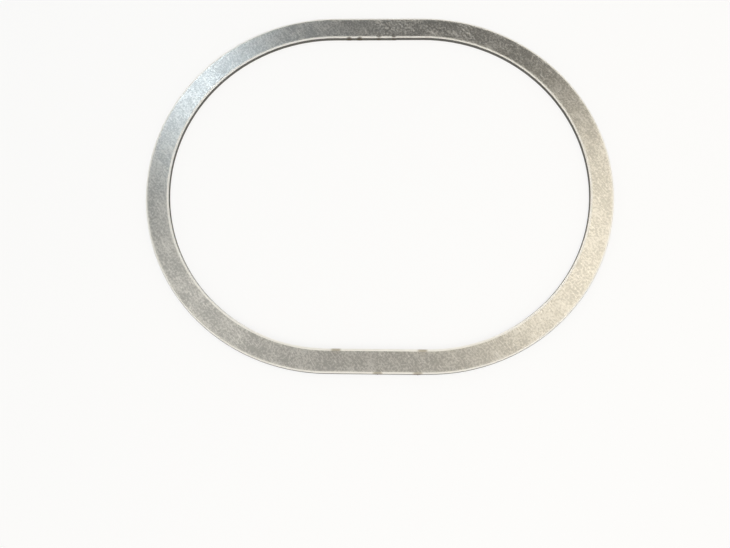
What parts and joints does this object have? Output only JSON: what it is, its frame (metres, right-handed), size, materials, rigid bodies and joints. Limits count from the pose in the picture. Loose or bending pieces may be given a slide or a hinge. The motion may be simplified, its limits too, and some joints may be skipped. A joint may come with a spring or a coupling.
{
  "type": "boiler manhole gasket",
  "caption": "Obround spiral-wound gasket that seals a boiler manhole cover: a V-section steel strip wound flat with a graphite ribbon between its turns.",
  "frame": {"origin": "middle of the opening, on the lower sealing face; the gasket lies flat on that face", "axes": "+Z square to the sealing faces, upwards; +X along the longer side of the obround"},
  "size_m": [0.5012, 0.4016, 0.0047],
  "materials": {
    "stainless_strip": "bright cold-rolled strip, fine lengthwise grain, brown heat marks at the spot welds",
    "flexible_graphite": "silvery grey, granular, with a soft metallic sheen and fine scuffs"
  },
  "bodies": {
    "root": {"steel_winding": "stainless_strip", "graphite_filler": "flexible_graphite"}
  },
  "joints": []
}
